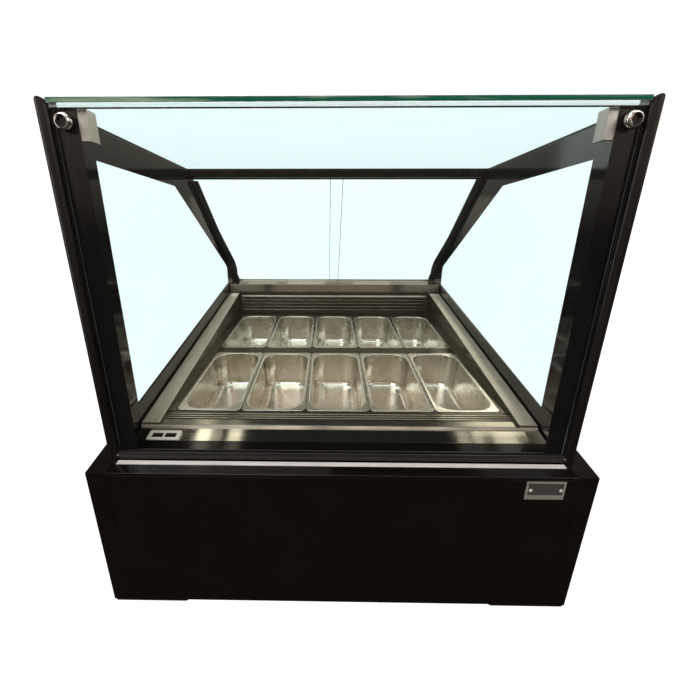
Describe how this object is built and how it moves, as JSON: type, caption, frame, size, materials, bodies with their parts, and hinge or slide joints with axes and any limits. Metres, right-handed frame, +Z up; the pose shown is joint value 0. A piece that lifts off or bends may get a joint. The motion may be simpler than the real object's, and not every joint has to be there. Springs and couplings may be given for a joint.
{
  "type": "refrigerated scoop display case",
  "caption": "Low black base with a tilting front glass, side and top glass and sliding rear doors over a steel well of deep narrow pans in two rows",
  "frame": {"origin": "middle of the footprint, on the floor under the feet", "axes": "+Z up, the customers' side with the tilting glass faces -Y, +X is to the right seen from there"},
  "size_m": [1.06, 1.1955, 1.041],
  "materials": {
    "black_panel": "gloss",
    "galvanised": "matte",
    "rubber": "matte",
    "plate": "satin",
    "steel": "satin",
    "pan_steel": "polished",
    "foam": "matte",
    "white_plastic": "satin",
    "glass": "polished",
    "black_print": "gloss",
    "clear_seal": "satin",
    "aluminium": "satin",
    "dark_profile": "satin",
    "black_plastic": "matte",
    "light_diffuser": "satin",
    "black_steel": "satin",
    "copper": "satin",
    "chrome": "polished"
  },
  "bodies": {
    "case": {"base_floor": "galvanised", "feet": "rubber", "side_panel_left": "black_panel", "side_panel_right": "black_panel", "front_panel": "black_panel", "rear_panel": "black_panel", "nameplate": "plate", "front_ledge": "black_panel", "tub_liner": "steel", "tub_insulation": "foam", "front_deck_strip": "steel", "thermometer": "white_plastic", "side_strip_left": "steel", "side_strip_right": "steel", "rear_rail": "steel", "front_louvre": "steel", "rear_louvre": "steel", "pan_bars": "steel", "hinge_sill": "steel", "post_left": "black_panel", "post_right": "black_panel", "side_glass_left": "glass", "side_glass_right": "glass", "side_glass_print": "black_print", "top_glass": "glass", "top_seal": "clear_seal", "glass_brackets": "aluminium", "rear_top_rail": "black_panel", "door_bottom_track": "steel", "led_bar": "light_diffuser", "evaporator_coil": "aluminium", "fan_plate": "steel", "compressor": "black_steel", "condenser_coil": "aluminium", "condenser_cowl": "black_plastic", "control_panel": "black_plastic", "power_inlet": "black_plastic", "refrigerant_pipes": "copper"},
    "pan_front_1": {"pan_front_1": "pan_steel"},
    "pan_front_2": {"pan_front_2": "pan_steel"},
    "pan_front_3": {"pan_front_3": "pan_steel"},
    "pan_front_4": {"pan_front_4": "pan_steel"},
    "pan_front_5": {"pan_front_5": "pan_steel"},
    "pan_rear_1": {"pan_rear_1": "pan_steel"},
    "pan_rear_2": {"pan_rear_2": "pan_steel"},
    "pan_rear_3": {"pan_rear_3": "pan_steel"},
    "pan_rear_4": {"pan_rear_4": "pan_steel"},
    "pan_rear_5": {"pan_rear_5": "pan_steel"},
    "front_glass": {"front_glass": "glass", "front_glass_print": "black_print", "front_glass_profile": "dark_profile", "glass_bolts": "chrome"},
    "door_left": {"door_left": "glass", "door_grip_left": "black_plastic"},
    "door_right": {"door_right": "glass", "door_grip_right": "black_plastic"},
    "light_switch": {"light_switch": "black_plastic"},
    "condenser_fan": {"condenser_fan": "black_plastic"},
    "evaporator_fan_left": {"evaporator_fan_left": "black_plastic"},
    "evaporator_fan_right": {"evaporator_fan_right": "black_plastic"}
  },
  "joints": [
    {"name": "pan_front_1_lift", "type": "slide", "parent": "case", "child": "pan_front_1", "axis": [0, -0.1045, 0.9945], "range_m": [0, 0.15]},
    {"name": "pan_front_2_lift", "type": "slide", "parent": "case", "child": "pan_front_2", "axis": [0, -0.1045, 0.9945], "range_m": [0, 0.15]},
    {"name": "pan_front_3_lift", "type": "slide", "parent": "case", "child": "pan_front_3", "axis": [0, -0.1045, 0.9945], "range_m": [0, 0.15]},
    {"name": "pan_front_4_lift", "type": "slide", "parent": "case", "child": "pan_front_4", "axis": [0, -0.1045, 0.9945], "range_m": [0, 0.15]},
    {"name": "pan_front_5_lift", "type": "slide", "parent": "case", "child": "pan_front_5", "axis": [0, -0.1045, 0.9945], "range_m": [0, 0.15]},
    {"name": "pan_rear_1_lift", "type": "slide", "parent": "case", "child": "pan_rear_1", "axis": [0, -0.1045, 0.9945], "range_m": [0, 0.15]},
    {"name": "pan_rear_2_lift", "type": "slide", "parent": "case", "child": "pan_rear_2", "axis": [0, -0.1045, 0.9945], "range_m": [0, 0.15]},
    {"name": "pan_rear_3_lift", "type": "slide", "parent": "case", "child": "pan_rear_3", "axis": [0, -0.1045, 0.9945], "range_m": [0, 0.15]},
    {"name": "pan_rear_4_lift", "type": "slide", "parent": "case", "child": "pan_rear_4", "axis": [0, -0.1045, 0.9945], "range_m": [0, 0.15]},
    {"name": "pan_rear_5_lift", "type": "slide", "parent": "case", "child": "pan_rear_5", "axis": [0, -0.1045, 0.9945], "range_m": [0, 0.15]},
    {"name": "front_glass_tilt", "type": "hinge", "parent": "case", "child": "front_glass", "pos_m": [0, -0.555, 0.376], "axis": [1, 0, 0], "range_deg": [0, 40]},
    {"name": "door_left_slide", "type": "slide", "parent": "case", "child": "door_left", "axis": [1, 0, 0], "range_m": [0, 0.45]},
    {"name": "door_right_slide", "type": "slide", "parent": "case", "child": "door_right", "axis": [-1, 0, 0], "range_m": [0, 0.45]},
    {"name": "light_switch_rock", "type": "hinge", "parent": "case", "child": "light_switch", "pos_m": [0.396, 0.592, 0.125], "axis": [1, 0, 0], "range_deg": [0, 14]},
    {"name": "condenser_fan_spin", "type": "hinge", "parent": "case", "child": "condenser_fan", "pos_m": [-0.29, 0.483, 0.13], "axis": [0, 1, 0], "continuous": true},
    {"name": "evaporator_fan_left_spin", "type": "hinge", "parent": "case", "child": "evaporator_fan_left", "pos_m": [-0.22, 0.476, 0.4225], "axis": [0, 0, 1], "continuous": true},
    {"name": "evaporator_fan_right_spin", "type": "hinge", "parent": "case", "child": "evaporator_fan_right", "pos_m": [0.22, 0.476, 0.4225], "axis": [0, 0, 1], "continuous": true}
  ]
}
